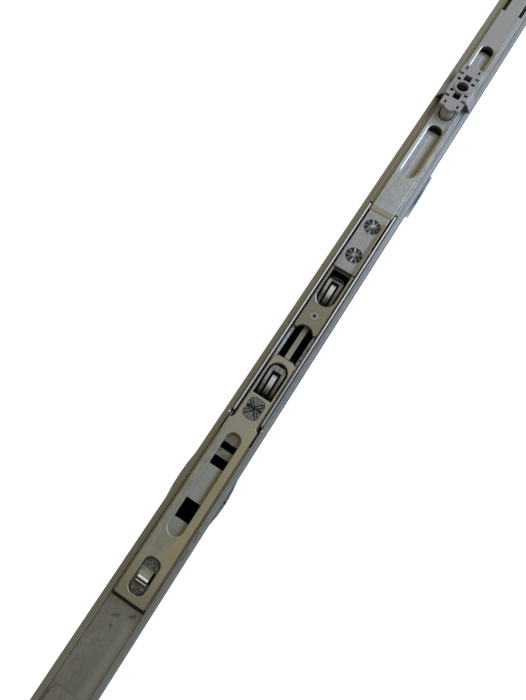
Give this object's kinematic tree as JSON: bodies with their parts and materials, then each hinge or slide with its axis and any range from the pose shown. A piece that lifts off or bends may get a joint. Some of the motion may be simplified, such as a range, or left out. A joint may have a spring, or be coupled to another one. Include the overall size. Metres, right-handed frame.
{
  "type": "window espagnolette gearbox",
  "caption": "Slim gearbox behind a channel faceplate: a square-drive follower slides flat drive rods with sprung latches along the channel.",
  "frame": {"origin": "on the spindle axis, midway across the gearbox case, 15 mm behind the face", "axes": "+X up the faceplate, +Y across it along the spindle, +Z out of the faceplate's face"},
  "size_m": [0.418, 0.0175, 0.0315],
  "materials": {
    "rolled_zinc": "zinc plated rolled steel, dulled and slightly olive",
    "case_steel": "zinc plated sheet steel",
    "rivet_steel": "upset steel rivet, darkened in its grooves",
    "spring_steel": "bright spring steel",
    "grey_plastic": "light grey moulded plastic",
    "black_plastic": "black moulded plastic",
    "rod_zinc": "zinc plated strip steel",
    "tan_plate": "yellow passivated strip steel, worn",
    "latch_steel": "punched steel",
    "hub_zinc": "die-cast metal"
  },
  "bodies": {
    "root": {"faceplate": "rolled_zinc", "left_case": "case_steel", "right_case": "case_steel", "case_rivets": "rivet_steel", "handle_screw_sleeves": "case_steel", "detent_spring": "spring_steel", "screw_guide_clip": "grey_plastic", "rod_guide_strip": "black_plastic", "rod_guide_pads": "black_plastic"},
    "drive_rods": {"lower_rod": "rod_zinc", "lower_end_plate": "rod_zinc", "end_plate_rivets": "rivet_steel", "lower_window_plate": "tan_plate", "shield_rivet": "rivet_steel", "upper_window_plate": "tan_plate", "upper_plate_rivet": "rivet_steel", "coupling_block": "rod_zinc", "block_rivets": "rivet_steel", "rack_bar": "rod_zinc", "upper_rod": "rod_zinc", "link_bar": "tan_plate", "lower_latch_cradle": "case_steel", "lower_latch_pin": "spring_steel", "lower_latch_spring": "spring_steel", "upper_latch_cradle": "case_steel", "upper_latch_pin": "spring_steel", "upper_latch_spring": "spring_steel"},
    "lower_latch": {"lower_latch_fork": "latch_steel", "lower_latch_tongue": "latch_steel"},
    "upper_latch": {"upper_latch_fork": "latch_steel", "upper_latch_tongue": "latch_steel"},
    "follower": {"follower_hub": "hub_zinc"}
  },
  "joints": [
    {"name": "rod_slide", "type": "slide", "parent": "root", "child": "drive_rods", "axis": [1, 0, 0], "range_m": [-0.01727, 0]},
    {"name": "follower_turn", "type": "hinge", "parent": "root", "child": "follower", "pos_m": [0, 0, 0], "axis": [0, 1, 0], "range_deg": [-90, 0]},
    {"name": "lower_latch_press", "type": "hinge", "parent": "drive_rods", "child": "lower_latch", "pos_m": [-0.1083, 0, 0.0084], "axis": [0, 1, 0], "range_deg": [0, 9], "stiffness_Nm_per_rad": 0.01, "springref_deg": -11.46},
    {"name": "upper_latch_press", "type": "hinge", "parent": "drive_rods", "child": "upper_latch", "pos_m": [-0.0684, 0, 0.0084], "axis": [0, 1, 0], "range_deg": [0, 9], "stiffness_Nm_per_rad": 0.01, "springref_deg": -11.46}
  ],
  "couplings": [
    {"joint": "follower_turn", "follows": "rod_slide", "rad_per_m": 90.909}
  ]
}
